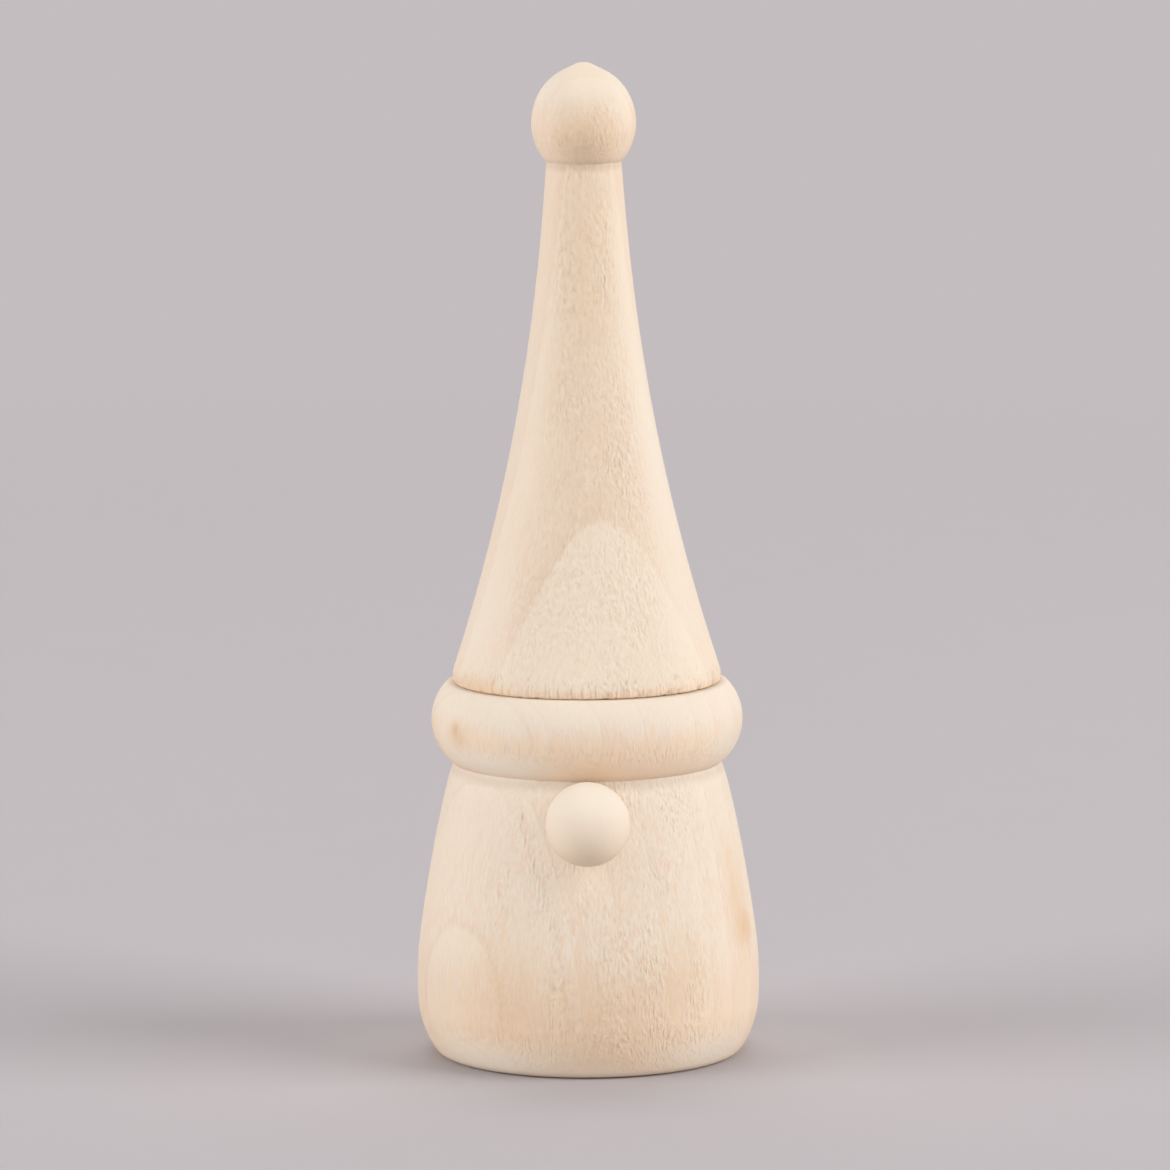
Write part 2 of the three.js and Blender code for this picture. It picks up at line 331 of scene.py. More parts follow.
# Painted light on surfaces that face up
TOP_LIGHT_SHARE = 0.6
EDGE_SIZE = (0.28, 0.28, 8)  # streaks up from the hat's edge
EDGE_REACH_SIZE = (1.2, 1.2, 50)
EDGE_REACH_SPREAD = (0.35, 0.65, 1.2, 4.8)  # the streaks reach between these two heights
EDGE_FADE_SPREAD = (1, 0.1)
EDGE_DARK = 0.5
EDGE_DARK_SPREAD = (0.52, 0.68)
EDGE_PALE = 0.35
EDGE_PALE_SPREAD = (0.45, 0.3)
EDGE_TINT = 0.13
EDGE_TINT_HEIGHT = 3.2
MARK_DEPTH = 2.5  # least depth of a mark in the wood
MARK_RAGGED = 0.6
MARK_RAGGED_SIZE = (0.5, 0.5, 1.2)
STREAK_RELIEF = 0.15  # times the depth of torn fibres
UNDER_RELIEF = 0.15  # likewise
ROUGHNESS_SPREAD = (0.3, 0.7, 0.6, 0.75)
WOOD_SPECULAR = 0.25

# Sockets of Blender's Mix node for colours
MIX_SHARE = 0
MIX_FIRST = 6
MIX_SECOND = 7
MIX_RESULT = 2


# Outlines of the turned nodes, read from the frame

def node_places(name):
    """Corners of a CAD node as an array."""
    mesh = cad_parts[name].data
    places = np.empty(len(mesh.vertices) * 3)
    mesh.vertices.foreach_get("co", places)
    return places.reshape(-1, 3)


def without_repeats(points):
    """The points in their order, without those that lie on the one before."""
    kept = [points[0]]
    for point in points[1:]:
        if np.hypot(*(point - kept[-1])) > SAME_POINT:
            kept.append(point)
    return np.array(kept)


def on_axis(point):
    """Point on the same level, on the axis."""
    return np.array([[0, point[1]]])


def turned_outline(name):
    """Outside and socket of a node turned about Z, as two lists of (radius, height).

    The outside runs upwards, and the socket inwards from its mouth to the axis. Only the back half is read,
    because the nose's seat cuts the front.
    """
    places = node_places(name)
    places = places[places[:, 1] > -SAME_POINT]
    pairs = np.column_stack([np.hypot(places[:, 0], places[:, 1]), places[:, 2]])
    pairs = np.round(pairs, PLACE_DIGITS)
    dowel_low, dowel_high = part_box("hat_dowel")
    inside = pairs[:, 0] < SOCKET_REACH * dowel_high.x
    inside &= pairs[:, 1] > dowel_low.z - SOCKET_MARGIN
    inside &= pairs[:, 1] < dowel_high.z + SOCKET_MARGIN
    outside = pairs[~inside]
    outside = without_repeats(outside[np.lexsort((outside[:, 0], outside[:, 1]))])
    socket = pairs[inside]
    depth = np.round(np.abs(socket[:, 1] - SEAM), LEVEL_DIGITS)
    socket = without_repeats(socket[np.lexsort((-socket[:, 0], depth))])
    if socket[-1, 0] > SAME_POINT:
        socket = np.concatenate([socket, on_axis(socket[-1])])
    return outside, socket


def radius_at(name, height):
    """Outside radius of a turned node at one height."""
    outside, _ = turned_outline(name)
    return float(np.interp(height, outside[:, 1], outside[:, 0]))


def nose_ball():
    """Middle and radius of the nose. Its drilled back is flat, so its box isn't a cube."""
    low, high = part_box("nose_ball")
    radius = (high.x - low.x) / 2
    return Vector((0, low.y + radius, (low.z + high.z) / 2)), radius


def ball_outline():
    """Outside and drilled hole of the nose about its own axis, as lists of (radius, height to the front)."""
    middle, ball_radius = nose_ball()
    from_middle = node_places("nose_ball") - np.array(middle)
    reach = np.hypot(from_middle[:, 0], from_middle[:, 2])
    pairs = np.round(np.column_stack([reach, -from_middle[:, 1]]), PLACE_DIGITS)
    on_ball = np.hypot(*pairs.T) > BALL_SHELL * ball_radius
    outside = pairs[on_ball]
    hole = pairs[~on_ball]
    outside = without_repeats(outside[np.argsort(outside[:, 1])])
    hole = without_repeats(hole[np.lexsort((hole[:, 0], hole[:, 1]))])
    return outside, hole


# Smooth curves through the outlines

def run_length(points):
    """Distance along the points from the first one."""
    steps = np.hypot(*np.diff(points, axis=0).T)
    return np.concatenate([[0], np.cumsum(steps)])


def smooth_run(points, step, trim_start, trim_end):
    """Points about one step apart on a smooth curve through these, trimmed at both ends."""
    place = run_length(points)
    slope = np.gradient(points, place, axis=0, edge_order=min(2, len(points) - 1))
    count = max(2, round((place[-1] - trim_start - trim_end) / step) + 1)
    wanted = np.linspace(trim_start, place[-1] - trim_end, count)
    span = np.clip(np.searchsorted(place, wanted, side="right") - 1, 0, len(points) - 2)
    length = (place[span + 1] - place[span])[:, None]
    t = (wanted - place[span])[:, None] / length
    from_start = (1 + 2 * t) * (1 - t) ** 2 * points[span] + t * (1 - t) ** 2 * length * slope[span]
    from_end = t ** 2 * (3 - 2 * t) * points[span + 1] - t ** 2 * (1 - t) * length * slope[span + 1]
    return from_start + from_end


def corner_curve(start, corner, end):
    """Short curve that eases a corner, without its ends."""
    t = np.linspace(0, 1, CORNER_STEPS + 2)[1:-1, None]
    return (1 - t) ** 2 * start + 2 * t * (1 - t) * corner + t ** 2 * end


def smooth_outline(points, step, first_ease=CORNER_EASE):
    """Fine outline: smooth between corners, with outside corners eased and inside corners crisp.

    The first corner can have an ease of its own.
    """
    ahead = np.diff(points, axis=0)
    heading = np.arctan2(ahead[:, 1], ahead[:, 0])
    turn = (np.diff(heading) + math.pi) % (2 * math.pi) - math.pi
    corners = [i + 1 for i in range(len(turn)) if abs(turn[i]) > math.radians(CORNER_TURN)]
    ends = [0, *corners, len(points) - 1]
    place = run_length(points)
    ease = {}
    for before, corner, after in zip(ends, ends[1:], ends[2:]):
        room = EASE_SHARE * min(place[corner] - place[before], place[after] - place[corner])
        outside_ease = first_ease if before == 0 else CORNER_EASE
        ease[corner] = min(room, outside_ease if turn[corner - 1] > 0 else CREASE_EASE)
    pieces = []
    for first, last in zip(ends, ends[1:]):
        run = smooth_run(points[first:last + 1], step, ease.get(first, 0), ease.get(last, 0))
        if pieces:
            pieces.append(corner_curve(pieces[-1][-1], points[first], run[0]))
        pieces.append(run)
    return np.concatenate(pieces)


def straight_outline(points, step):
    """Points at most one step apart on straight lines through these."""
    pieces = [points[:1]]
    for start, end in zip(points, points[1:]):
        count = math.ceil(np.hypot(*(end - start)) / step)
        t = np.arange(1, count + 1)[:, None] / count
        pieces.append(start + (end - start) * t)
    return np.concatenate(pieces)


def inward(point, steps=1):
    """Point on the same level, some hidden steps nearer to the axis."""
    return np.array([[point[0] - steps * HIDDEN_STEP, point[1]]])


def body_section():
    """Section of the trunk and brim from the foot's middle to the socket's end, and which points show."""
    outside, socket = turned_outline("body")
    outside = outside[outside[:, 0] > SAME_POINT]
    fine = np.concatenate([inward(outside[0], FOOT_STEPS), outside, inward(outside[-1])])
    fine = smooth_outline(fine, BODY_STEP, FOOT_EASE)
    foot = straight_outline(np.concatenate([on_axis(fine[0]), fine[:1]]), HIDDEN_STEP)[:-1]
    inner = straight_outline(np.concatenate([fine[-1:], socket]), HIDDEN_STEP)[1:]
    shown = [0] * len(foot) + [1] * len(fine) + [0] * len(inner)
    return np.concatenate([foot, fine, inner]), np.array(shown)


def hat_section():
    """Section of the hat from the socket's end to the tip, and which points show."""
    outside, socket = turned_outline("hat")
    fine = smooth_outline(np.concatenate([inward(outside[0]), outside]), HAT_STEP)
    if fine[-1, 0] > SAME_POINT:
        fine = np.concatenate([fine, on_axis(fine[-1])])
    inner = straight_outline(np.concatenate([socket[::-1], fine[:1]]), HIDDEN_STEP)[:-1]
    shown = [0] * len(inner) + [1] * len(fine)
    section = np.concatenate([inner, fine])
    section[:, 1] = np.maximum(section[:, 1], SEAM + SEAM_GAP)
    return section, np.array(shown)


def nose_section():
    """Section of the drilled ball from the hole's end to the front."""
    outside, hole = ball_outline()
    fine = smooth_outline(outside, BALL_STEP)
    inner = straight_outline(np.concatenate([hole, fine[:1]]), HIDDEN_STEP)[:-1]
    return np.concatenate([inner, fine])


# Meshes

def turned_grid(section, sides):
    """Radius, angle and height of every corner of a turned surface, ring by ring, starting at the back."""
    angle = math.pi / 2 + 2 * math.pi * np.arange(sides) / sides
    radius = np.repeat(section[:, :1], sides, axis=1)
    height = np.repeat(section[:, 1:], sides, axis=1)
    return radius, np.tile(angle, (len(section), 1)), height


def upright_places(radius, angle, height):
    """Places of a turned surface whose axis is Z."""
    return np.stack([radius * np.cos(angle), radius * np.sin(angle), height], axis=-1)


def section_normals(section):
    """Outward direction of the turned surface at each point of its section."""
    along = np.gradient(section, axis=0)
    normal = np.column_stack([along[:, 1], -along[:, 0]])
    return normal / np.hypot(*normal.T)[:, None]


def noise_field(places, size):
    """Smooth noise from about -1 to 1 at places in metres, with features of that size in millimetres."""
    scaled = (places.reshape(-1, 3) / (np.array(size) * MM)).tolist()
    values = [noise.noise(spot) for spot in scaled]
    return np.array(values).reshape(places.shape[:-1])


def wood_relief(places):
    """How far the worked surface lies from a true turning: slightly out of round, with torn fibres.

    It never stands proud, so that turning pieces stay clear of each other.
    """
    bulge = ROUNDNESS * (noise_field(places, ROUNDNESS_SIZE) - 1)
    zone = np.clip(noise_field(places, TEAR_ZONE_SIZE) - TEAR_ZONE_FROM, 0, 1)
    torn = np.clip(noise_field(places, TEAR_SIZE) - TEAR_FROM, 0, 1)
    return (bulge - TEAR_DEPTH * zone * torn) * MM


def edge_notches(places):
    """Small splits up from the hat's lower edge."""
    above = (places[..., 2] - SEAM) / (NOTCH_HEIGHT * MM)
    split = np.clip(noise_field(places, NOTCH_SIZE) - NOTCH_FROM, 0, NOTCH_RISE) / NOTCH_RISE
    return -NOTCH_DEPTH * MM * split * np.clip(1 - above, 0, 1)


def seated_radius(radius, angle, height):
    """Radius of the trunk with the nose's dished seat and the bore of its peg."""
    middle, ball_radius = nose_ball()
    seat = ball_radius + SEAT_GAP
    peg_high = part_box("nose_peg")[1]
    bore = peg_high.x + BORE_GAP
    across = np.cos(angle)
    forward = -np.sin(angle)
    drop = height - middle.z
    inside = seat ** 2 - drop ** 2 - (middle.y * across) ** 2
    dished = -middle.y * forward - np.sqrt(np.maximum(inside, 0))
    in_seat = (forward > 0) & (inside > 0)
    in_bore = (forward > 0) & (np.hypot(radius * across, drop) < bore)
    drilled = -(peg_high.y + BORE_GAP) / np.maximum(forward, LEAST_FORWARD)
    radius = np.where(in_seat, np.minimum(radius, dished), radius)
    return np.where(in_bore, np.minimum(radius, drilled), radius)


def ring_faces(rings, sides):
    """Faces of a closed turned mesh. The two corners on its axis come after those of its rings."""
    side = np.arange(sides)
    following = (side + 1) % sides
    first = rings * sides
    last = first + 1
    faces = np.column_stack([np.full(sides, first), following, side]).tolist()
    for ring in range(rings - 1):
        low = ring * sides
        high = low + sides
        faces += np.column_stack([low + side, low + following, high + following, high + side]).tolist()
    top = (rings - 1) * sides
    faces += np.column_stack([top + side, top + following, np.full(sides, last)]).tolist()
    return faces


def unrolled_spots(lengths, sides):
    """Texture space of a turned mesh, face by face: once round across, and along the section upwards."""
    along = lengths / lengths[-1]
    wide = 1 / sides
    left = wide * np.arange(sides)
    right = left + wide
    level = np.ones(sides)
    start = (left + wide / 2, level * along[0])
    spots = [np.column_stack([*start, right, level * along[1], left, level * along[1]])]
    for low, high in zip(along[1:-2], along[2:-1]):
        lower = (left, level * low, right, level * low)
        upper = (right, level * high, left, level * high)
        spots.append(np.column_stack([*lower, *upper]))
    end = (left + wide / 2, level * along[-1])
    spots.append(np.column_stack([left, level * along[-2], right, level * along[-2], *end]))
    return np.concatenate([spot.ravel() for spot in spots])


def turned_piece(name, places, section, material):
    """Closed turned mesh from its rings of places. The first and the last ring lie on the axis."""
    rings, sides = places.shape[0] - 2, places.shape[1]
    corners = np.concatenate([places[1:-1].reshape(-1, 3), places[:1, 0], places[-1:, 0]])
    mesh = bpy.data.meshes.new(name)
    mesh.from_pydata(corners.tolist(), [], ring_faces(rings, sides))
    mesh.uv_layers.new(name="OFBake").data.foreach_set("uv", unrolled_spots(run_length(section), sides))
    mesh.shade_smooth()
    mesh.materials.append(material)
    piece = bpy.data.objects.new(name, mesh)
    bpy.context.scene.collection.objects.link(piece)
    return piece


def make_body():
    """Trunk and brim in one turning, with the nose's seat."""
    section, shown = body_section()
    radius, angle, height = turned_grid(section, TURNED_SIDES)
    lift = wood_relief(upright_places(radius, angle, height)) * shown[:, None]
    normal = section_normals(section)
    radius = radius + lift * normal[:, :1]
    height = height + lift * normal[:, 1:]
    radius = seated_radius(radius, angle, height)
    material = wood_material("body_wood_turned", BODY_WOOD)
    piece = turned_piece("turned_body", upright_places(radius, angle, height), section, material)
    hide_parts("body")
    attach(piece, "figure")


def make_hat():
    """Cone and bobble in one turning, with a split lower edge."""
    section, shown = hat_section()
    radius, angle, height = turned_grid(section, TURNED_SIDES)
    places = upright_places(radius, angle, height)
    lift = (wood_relief(places) + edge_notches(places)) * shown[:, None]
    lift[-1] = lift[-1, 0]
    normal = section_normals(section)
    radius = np.maximum(radius + lift * normal[:, :1], 0)
    radius[-1] = 0
    height = height + lift * normal[:, 1:]
    material = wood_material("hat_wood_turned", HAT_WOOD)
    piece = turned_piece("turned_hat", upright_places(radius, angle, height), section, material)
    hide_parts("hat")
    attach(piece, "hat")


def make_nose():
    """Drilled ball, turned about the axis of its peg."""
    section = nose_section()
    middle, _ = nose_ball()
    local = upright_places(*turned_grid(section, BALL_SIDES))
    places = np.stack([local[..., 0], -local[..., 2], local[..., 1]], axis=-1) + np.array(middle)
    material = wood_material("nose_wood_turned", NOSE_WOOD)
    piece = turned_piece("turned_nose", places, section, material)
    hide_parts("nose_ball")
    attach(piece, "figure")


def dress_pins():
    """The dowel and the peg keep their CAD shapes."""
    material = wood_material("pin_wood", DOWEL_WOOD)
    for name in ("hat_dowel", "nose_peg"):
        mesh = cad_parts[name].data
        mesh.materials.clear()
        mesh.materials.append(material)


# Wood materials

class Graph:
    """Short calls that build the nodes of a material or world. A value is a number, a colour or an output."""

    def __init__(self, owner):
        owner.use_nodes = True
        self.tree = owner.node_tree
        self.tree.nodes.clear()

    def node(self, kind, values, **settings):
        node = self.tree.nodes.new(kind)
        for key, setting in settings.items():
            setattr(node, key, setting)
        for key, value in values.items():
            if isinstance(value, bpy.types.NodeSocket):
                self.tree.links.new(value, node.inputs[key])
            else:
                node.inputs[key].default_value = value
        return node

    def math(self, operation, *values):
        return self.node("ShaderNodeMath", dict(enumerate(values)), operation=operation).outputs[0]

    def vector(self, operation, *values):
        node = self.node("ShaderNodeVectorMath", dict(enumerate(values)), operation=operation)
        return node.outputs["Value" if operation in ("LENGTH", "DOT_PRODUCT") else "Vector"]

    def upward(self, vector):
        """How far a vector reaches up."""
        return self.vector("DOT_PRODUCT", vector, (0, 0, 1))

    def level(self, vector):
        """The vector without its height."""
        return self.vector("MULTIPLY", vector, (1, 1, 0))

    def spread(self, value, low, high, to_low=0.0, to_high=1.0):
        """The value moved smoothly from one range to another, and held inside it."""
        values = {"Value": value, "From Min": low, "From Max": high, "To Min": to_low, "To Max": to_high}
        return self.node("ShaderNodeMapRange", values, interpolation_type="SMOOTHSTEP").outputs[0]

    def mix(self, share, first, second):
        values = {MIX_SHARE: share, MIX_FIRST: first, MIX_SECOND: second}
        return self.node("ShaderNodeMix", values, data_type="RGBA").outputs[MIX_RESULT]

    def tint(self, colour, other, share, strength):
        """The colour, moved towards another one by a share of that strength."""
        return self.mix(self.math("MULTIPLY", share, strength), colour, other)

    def noise(self, place, size, detail, output="Fac"):
        """Noise with features of that size, in the units of the place."""
        scaled = self.vector("MULTIPLY", place, [1 / length for length in size])
        values = {"Vector": scaled, "Scale": 1, "Detail": detail}
        return self.node("ShaderNodeTexNoise", values).outputs[output]

    def stray(self, place, size, detail):
        """The same noise about zero."""
        return self.math("SUBTRACT", self.noise(place, size, detail), NOISE_MIDDLE)


class WoodGraph(Graph):
    """Nodes of a wood material, with the values that its looks share."""

    def __init__(self, material, wood):
        super().__init__(material)
        self.wood = wood
        spot = self.node("ShaderNodeTexCoord", {}).outputs
        self.place = self.vector("MULTIPLY", spot["Object"], (1 / MM, 1 / MM, 1 / MM))
        self.height = self.upward(self.place)
        self.steep = self.upward(spot["Normal"])  # 1 where the surface faces up, and -1 where it faces down
        middle = (NOISE_MIDDLE, NOISE_MIDDLE, NOISE_MIDDLE)
        drift = self.vector("SUBTRACT", self.noise(self.place, DRIFT_SIZE, detail=2, output="Color"), middle)
        self.fibre_place = self.vector("ADD", self.place, self.vector("MULTIPLY", drift, DRIFT))
        self.facing = self.math("ABSOLUTE", facing_side(self, wood["torn_side"]))
        self.depth = ring_depth(self)
        self.streak = self.noise(self.fibre_place, STREAK_SIZE, detail=2)
        self.dash = self.noise(self.fibre_place, DASH_SIZE, detail=1)
        self.under_lines = self.noise(self.fibre_place, UNDER_SIZE, detail=1)
        reach = UNDER_STRAY * wood["fleck"]
        stray = self.math("MULTIPLY_ADD", self.under_lines, reach, -reach * NOISE_MIDDLE)
        self.strayed = self.math("ADD", self.steep, stray)  # a little different from fibre to fibre


def outward_way(direction):
    """Level way from the axis towards a direction."""
    turn = math.radians(direction)
    return math.sin(turn), -math.cos(turn), 0


def facing_side(graph, direction):
    """How nearly a place lies in one direction from the axis: 1 there, 0 square to it and -1 behind."""
    away = graph.vector("NORMALIZE", graph.level(graph.place))
    return graph.vector("DOT_PRODUCT", away, outward_way(direction))


def ring_depth(graph):
    """Depth towards the bark, with the small wanderings of the ring lines."""
    wood = graph.wood
    pith = [-wood["pith"] * part for part in outward_way(wood["bark_side"])]
    from_pith = graph.level(graph.vector("SUBTRACT", graph.place, pith))
    depth = graph.math("SUBTRACT", graph.vector("LENGTH", from_pith), wood["pith"])
    depth = graph.math("MULTIPLY_ADD", graph.height, wood["ring_slope"], depth)
    sway = graph.stray(graph.place, RING_SWAY_SIZE, detail=2)
    depth = graph.math("MULTIPLY_ADD", sway, 2 * RING_SWAY, depth)
    ragged = graph.stray(graph.fibre_place, RING_RAGGED_SIZE, detail=1)
    return graph.math("MULTIPLY_ADD", ragged, 2 * wood["ragged"], depth)


def growth_rings(graph):
    """Late wood and ring lines, each from 0 to 1. A ring slowly fills with late wood, and a line ends it."""
    wood = graph.wood
    late = 0
    lines = 0
    previous = -RING_REACH
    for edge, darkness in wood["rings"]:
        clear = graph.spread(graph.depth, edge + LINE_WIDTH, edge)
        filling = graph.math("MULTIPLY", graph.spread(graph.depth, previous, edge), clear)
        late = graph.math("ADD", filling, late)
        near = graph.spread(graph.depth, edge - wood["late_width"], edge, 0, darkness)
        lines = graph.math("MULTIPLY_ADD", near, clear, lines)
        previous = edge
    broken = graph.spread(graph.noise(graph.place, RING_GAP_SIZE, detail=1), *RING_GAP_SPREAD)
    faint = graph.spread(facing_side(graph, wood["faint_side"]), *RING_FAINT_SPREAD)
    fade = graph.spread(graph.height, wood["lines_fade"] - LINES_FADE, wood["lines_fade"])
    shown = graph.math("MULTIPLY", broken, graph.math("MULTIPLY", faint, fade))
    return late, graph.math("MULTIPLY", lines, shown)


def grown_colour(graph, under):
    """Early and late wood, with painted light where it faces up and painted shade where it faces down, and
    ring lines.
    """
    wood = graph.wood
    late, lines = growth_rings(graph)
    blush = graph.spread(graph.noise(graph.fibre_place, BLUSH_SIZE, detail=2), *BLUSH_SPREAD)
    blush = graph.math("MULTIPLY_ADD", late, LATE_SHARE, blush)
    colour = graph.mix(blush, wood["early"], wood["blush"])
    # Painted light on surfaces that face up
    top = graph.spread(graph.strayed, *wood["painted_light_slope"], 0, TOP_LIGHT_SHARE)
    colour = graph.mix(top, colour, wood["top"])
    # Painted shade on surfaces that face down, less on the sides
    tan = graph.math("MULTIPLY", under, graph.spread(graph.facing, *SIDE_TAN_SPREAD))
    colour = graph.mix(tan, colour, wood["tan"])
    lines = graph.math("MULTIPLY", lines, graph.math("SUBTRACT", 1, top))
    return graph.tint(colour, wood["late"], lines, RING_DARK)


def streaked_colour(graph, colour):
    """Fine dark and pale fibres."""
    wood = graph.wood
    dark = graph.spread(graph.streak, *STREAK_DARK_SPREAD, 0, STREAK_DARK * wood["fleck"])
    colour = graph.mix(dark, colour, wood["late"])
    pale = graph.spread(graph.streak, *STREAK_PALE_SPREAD, 0, STREAK_PALE * wood["fleck"])
    return graph.mix(pale, colour, wood["pale"])


def torn_zone(graph):
    """Where fibres are torn, where tears are dark, and where torn wood is tan, each from 0 to 1.

    Tears lie in patches, on upright wood towards the torn side and opposite it.
    """
    wood = graph.wood
    side = graph.spread(graph.facing, *TORN_SIDE_SPREAD)
    patches = graph.noise(graph.place, PATCH_SIZE, detail=2)
    patch = graph.spread(patches, *PATCH_SPREAD, wood["torn_least"], wood["torn_most"])
    upright = graph.spread(graph.math("ABSOLUTE", graph.steep), *TORN_STEEP_SPREAD)
    torn = graph.math("MULTIPLY", graph.math("MULTIPLY", side, patch), upright)
    top = wood["torn_top"]
    weaker = graph.spread(graph.height, top, top + TORN_TOP_BLEND, 1, wood["torn_above"])
    torn = graph.math("MULTIPLY", torn, weaker)
    ends = [wood["torn_depth"] + end for end in TORN_DEPTH_SPREAD]
    beyond = graph.spread(graph.depth, *ends)
    dark = graph.math("MULTIPLY", torn, graph.spread(beyond, 0, 1, 1, wood["torn_dark"]))
    tan = graph.math("MULTIPLY", side, graph.math("SUBTRACT", 1, beyond))
    return torn, dark, tan


def torn_colour(graph, colour, torn, dark, tan):
    """Sunk and raised fibres, and small deep tears."""
    wood = graph.wood
    fleck = wood["fleck"]
    colour = graph.tint(colour, AMBER, tan, TORN_TAN)
    sunk = graph.math("MULTIPLY", graph.spread(graph.dash, *DASH_DARK_SPREAD), dark)
    colour = graph.tint(colour, wood["late"], sunk, DASH_DARK * fleck)
    pit = graph.math("MULTIPLY", graph.spread(graph.dash, *PIT_SPREAD), dark)
    colour = graph.tint(colour, BROWN, pit, PIT_DARK * fleck)
    raised = graph.math("MULTIPLY", graph.spread(graph.dash, *DASH_PALE_SPREAD), torn)
    return graph.tint(colour, wood["pale"], raised, DASH_PALE * fleck)


def edge_colour(graph, colour):
    """Short streaks up from a torn lower edge: brown ones, and pale ones between them."""
    wood = graph.wood
    above = graph.math("SUBTRACT", graph.height, wood["torn_edge"])
    tint = graph.spread(above, EDGE_TINT_HEIGHT, 0, 0, EDGE_TINT)
    colour = graph.mix(tint, colour, wood["late"])
    reach = graph.spread(graph.noise(graph.fibre_place, EDGE_REACH_SIZE, detail=1), *EDGE_REACH_SPREAD)
    low = graph.spread(graph.math("DIVIDE", above, reach), *EDGE_FADE_SPREAD)
    lines = graph.noise(graph.fibre_place, EDGE_SIZE, detail=1)
    brown = graph.math("MULTIPLY", graph.spread(lines, *EDGE_DARK_SPREAD), low)
    colour = graph.tint(colour, BROWN, brown, EDGE_DARK)
    pale = graph.math("MULTIPLY", graph.spread(lines, *EDGE_PALE_SPREAD), low)
    return graph.tint(colour, wood["pale"], pale, EDGE_PALE)


def mark_mask(graph, direction, height, half_width, half_height):
    """Where a small mark lies, from 0 to 1."""
    radius = radius_at(graph.wood["node"], height * MM) / MM
    outward = outward_way(direction)
    middle = (radius * outward[0], radius * outward[1], height)
    apart = graph.vector("SUBTRACT", graph.place, middle)
    across = graph.vector("DOT_PRODUCT", apart, outward_way(direction + 90))
    deep = graph.vector("DOT_PRODUCT", apart, outward)
    reach = graph.node("ShaderNodeCombineXYZ", {
        0: graph.math("DIVIDE", across, half_width),
        1: graph.math("DIVIDE", graph.upward(apart), half_height),
        2: graph.math("DIVIDE", deep, max(half_width, MARK_DEPTH)),
    }).outputs[0]
    ragged = graph.stray(graph.place, MARK_RAGGED_SIZE, detail=3)
    distance = graph.math("MULTIPLY_ADD", ragged, MARK_RAGGED, graph.vector("LENGTH", reach))
    return graph.spread(distance, 1, 0)


def wood_colour(graph, torn, dark, tan, under, ploughed):
    """Colour of the wood with all its looks, and the light and shade painted on it, one over the other."""
    wood = graph.wood
    colour = grown_colour(graph, under)
    colour = streaked_colour(graph, colour)
    colour = torn_colour(graph, colour, torn, dark, tan)
    colour = graph.tint(colour, wood["late"], ploughed, UNDER_DARK * wood["fleck"])
    if "torn_edge" in wood:
        colour = edge_colour(graph, colour)
    # Stains and knots of the wood, and painted light and shade
    for *shape, strength, stain in wood["marks"]:
        colour = graph.tint(colour, stain, mark_mask(graph, *shape), strength)
    return colour


def wood_material(name, wood):
    """Raw solid wood with its fibres along Z."""
    material = bpy.data.materials.new(name)
    graph = WoodGraph(material, wood)
    torn, dark, tan = torn_zone(graph)
    # Where the surface faces down: there it takes painted shade, and the dark streaks of its fibres
    under = graph.spread(graph.strayed, *wood["painted_shade_slope"])
    ploughed = graph.math("MULTIPLY", graph.spread(graph.under_lines, *UNDER_DARK_SPREAD), under)
    ploughed = graph.math("MULTIPLY", ploughed, graph.spread(graph.steep, *UNDER_FADE_SPREAD))

    height = graph.math("MULTIPLY", graph.math("SUBTRACT", graph.dash, NOISE_MIDDLE), torn)
    height = graph.math("MULTIPLY_ADD", graph.streak, STREAK_RELIEF, height)
    height = graph.math("MULTIPLY_ADD", ploughed, -UNDER_RELIEF, height)
    relief = {"Height": height, "Strength": wood["fleck"], "Distance": DASH_DEPTH * MM}
    shader = graph.node("ShaderNodeBsdfPrincipled", {
        "Base Color": wood_colour(graph, torn, dark, tan, under, ploughed),
        "Roughness": graph.spread(graph.streak, *ROUGHNESS_SPREAD),
        "Specular IOR Level": WOOD_SPECULAR,
        "Normal": graph.node("ShaderNodeBump", relief).outputs["Normal"],
    })
    graph.node("ShaderNodeOutputMaterial", {"Surface": shader.outputs["BSDF"]})
    return material


# Stage

def seen_share(graph):
    """1 for rays that show the backdrop, straight or in gloss and glass, and 0 for rays that carry light."""
    rays = graph.node("ShaderNodeLightPath", {}).outputs
    seen = graph.math("MAXIMUM", rays["Is Camera Ray"], rays["Is Glossy Ray"])
    return graph.math("MAXIMUM", seen, rays["Is Transmission Ray"])


def floor_material():
    """Pale paper that takes the figure's shadow, and far off the even colour of the backdrop."""
    material = bpy.data.materials.new("floor_paper")
    graph = Graph(material)
    spot = graph.node("ShaderNodeTexCoord", {}).outputs["Object"]
    tone = graph.noise(spot, PAPER_TONE_SIZE, detail=3)
    darker = tuple(PAPER_TONE * value for value in FLOOR_COLOUR[:3]) + (1,)
    paper = graph.node("ShaderNodeBsdfPrincipled", {
        "Base Color": graph.mix(tone, darker, FLOOR_COLOUR),
        "Roughness": PAPER_ROUGHNESS,
        "Specular IOR Level": PAPER_SPECULAR,
    })
    even = graph.node("ShaderNodeEmission", {"Color": BACKDROP_COLOUR})
    distance = graph.vector("LENGTH", graph.level(spot))
    share = graph.math("MULTIPLY", graph.spread(distance, *EVEN_FLOOR), seen_share(graph))
    shader = graph.node("ShaderNodeMixShader", {0: share, 1: paper.outputs[0], 2: even.outputs[0]})
    graph.node("ShaderNodeOutputMaterial", {"Surface": shader.outputs[0]})
    return material


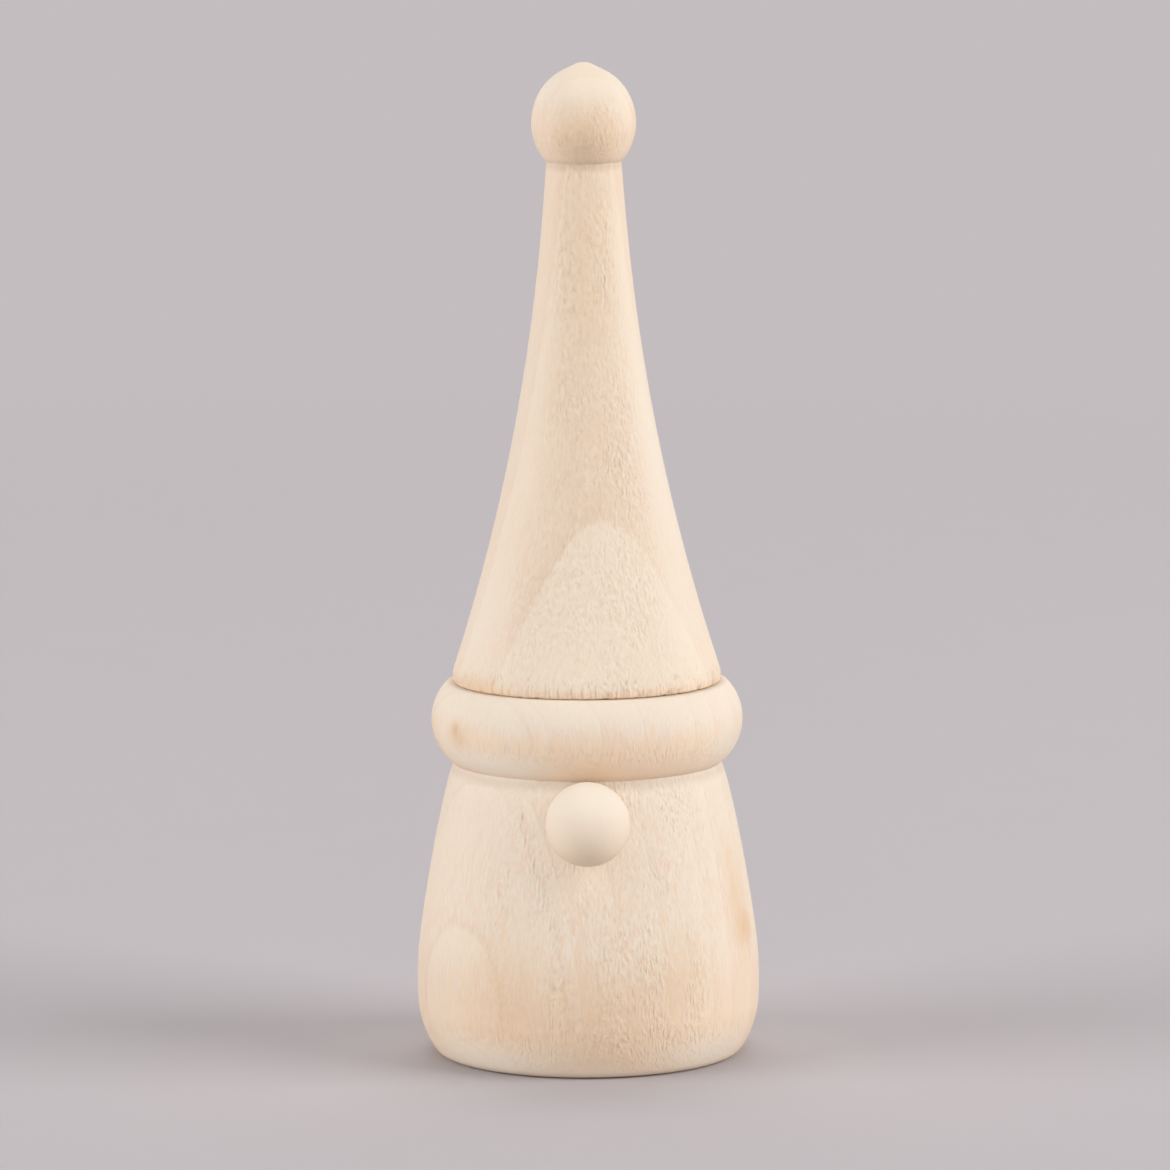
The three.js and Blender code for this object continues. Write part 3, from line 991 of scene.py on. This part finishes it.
def make_floor():
    """Paper sweep: flat floor, quarter round and upright backdrop."""
    profile = [(FLOOR_FRONT, -FLOOR_DROP)]
    for step in range(SWEEP_STEPS + 1):
        angle = math.pi / 2 * step / SWEEP_STEPS
        along = FLOOR_BACK + SWEEP_RADIUS * math.sin(angle)
        profile.append((along, SWEEP_RADIUS * (1 - math.cos(angle)) - FLOOR_DROP))
    profile.append((FLOOR_BACK + SWEEP_RADIUS, BACKDROP_HEIGHT))
    corners = [(side * FLOOR_HALF_WIDTH, y, z) for y, z in profile for side in (-1, 1)]
    faces = [(i, i + 1, i + 3, i + 2) for i in range(0, len(corners) - 2, 2)]
    mesh = bpy.data.meshes.new("floor")
    mesh.from_pydata(corners, [], faces)
    mesh.shade_smooth()
    mesh.materials.append(floor_material())
    floor = bpy.data.objects.new("floor", mesh)
    bpy.context.scene.collection.objects.link(floor)


def add_lamps():
    """Square soft boxes, each turned to its aim."""
    for name, place, aim, size, power in LAMPS:
        lamp = bpy.data.lights.new(name, "AREA")
        lamp.shape = "SQUARE"
        lamp.size = size
        lamp.energy = power
        holder = bpy.data.objects.new(name, lamp)
        holder.location = place
        holder.rotation_euler = (Vector(aim) - Vector(place)).to_track_quat("-Z", "Y").to_euler()
        bpy.context.scene.collection.objects.link(holder)


def set_world():
    """Even white light from all round, which shows the backdrop's colour where the floor ends."""
    world = bpy.data.worlds.new("studio")
    graph = Graph(world)
    light = graph.node("ShaderNodeBackground", {"Color": WHITE, "Strength": WORLD_LIGHT})
    even = graph.node("ShaderNodeBackground", {"Color": BACKDROP_COLOUR})
    share = seen_share(graph)
    shader = graph.node("ShaderNodeMixShader", {0: share, 1: light.outputs[0], 2: even.outputs[0]})
    graph.node("ShaderNodeOutputWorld", {"Surface": shader.outputs[0]})
    bpy.context.scene.world = world


def add_camera():
    """Camera of the photograph."""
    lens = bpy.data.cameras.new("camera")
    lens.sensor_width = SENSOR_WIDTH
    lens.lens = SENSOR_WIDTH * FOCAL_LENGTH / IMAGE_WIDTH
    camera = bpy.data.objects.new("camera", lens)
    tilt = Matrix.Rotation(math.radians(90 - CAMERA_DOWN), 4, "X")
    roll = Matrix.Rotation(math.radians(CAMERA_ROLL), 4, "Z")
    camera.matrix_world = Matrix.Translation(CAMERA_PLACE) @ tilt @ roll
    bpy.context.scene.collection.objects.link(camera)
    bpy.context.scene.camera = camera


add_camera()
make_body()
make_hat()
make_nose()
dress_pins()
make_floor()
add_lamps()
set_world()
bpy.context.scene.view_settings.view_transform = "Standard"
